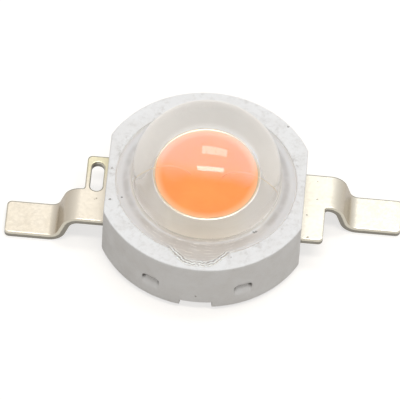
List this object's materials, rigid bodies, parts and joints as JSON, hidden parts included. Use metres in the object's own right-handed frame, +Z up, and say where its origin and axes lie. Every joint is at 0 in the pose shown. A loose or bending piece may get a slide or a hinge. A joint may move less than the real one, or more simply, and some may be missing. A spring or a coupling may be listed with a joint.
{
  "type": "high-power led emitter",
  "caption": "Round white moulded light-emitting diode with a clear silicone dome over a phosphor-filled cup, a copper slug under it and bent leads at its sides.",
  "frame": {"origin": "on the board plane, under the middle of the slug, which is the bottom centre of the part's box", "axes": "+X along the leads towards the cathode foot, -Y to the front with the moulding gate, +Z up through the dome"},
  "size_m": [0.0144, 0.008, 0.0054],
  "materials": {
    "white_ppa": "satin moulded white polyphthalamide",
    "silver_plated_copper": "silver plated, softly bright",
    "silver_plated_lead": "silver plated, softly bright, slightly warm",
    "chip": "polished",
    "silver_epoxy": "silver-filled epoxy",
    "gold_wire": "bright gold",
    "phosphor": "orange phosphor powder in silicone",
    "clear_silicone": "clear and glossy"
  },
  "bodies": {
    "root": {"housing": "white_ppa", "heat_slug": "silver_plated_copper", "anode_lead": "silver_plated_lead", "cathode_lead": "silver_plated_lead", "led_die": "chip", "die_attach": "silver_epoxy", "anode_bond_wire": "gold_wire", "cathode_bond_wire": "gold_wire", "phosphor_fill": "phosphor", "silicone_lens": "clear_silicone"}
  },
  "joints": []
}
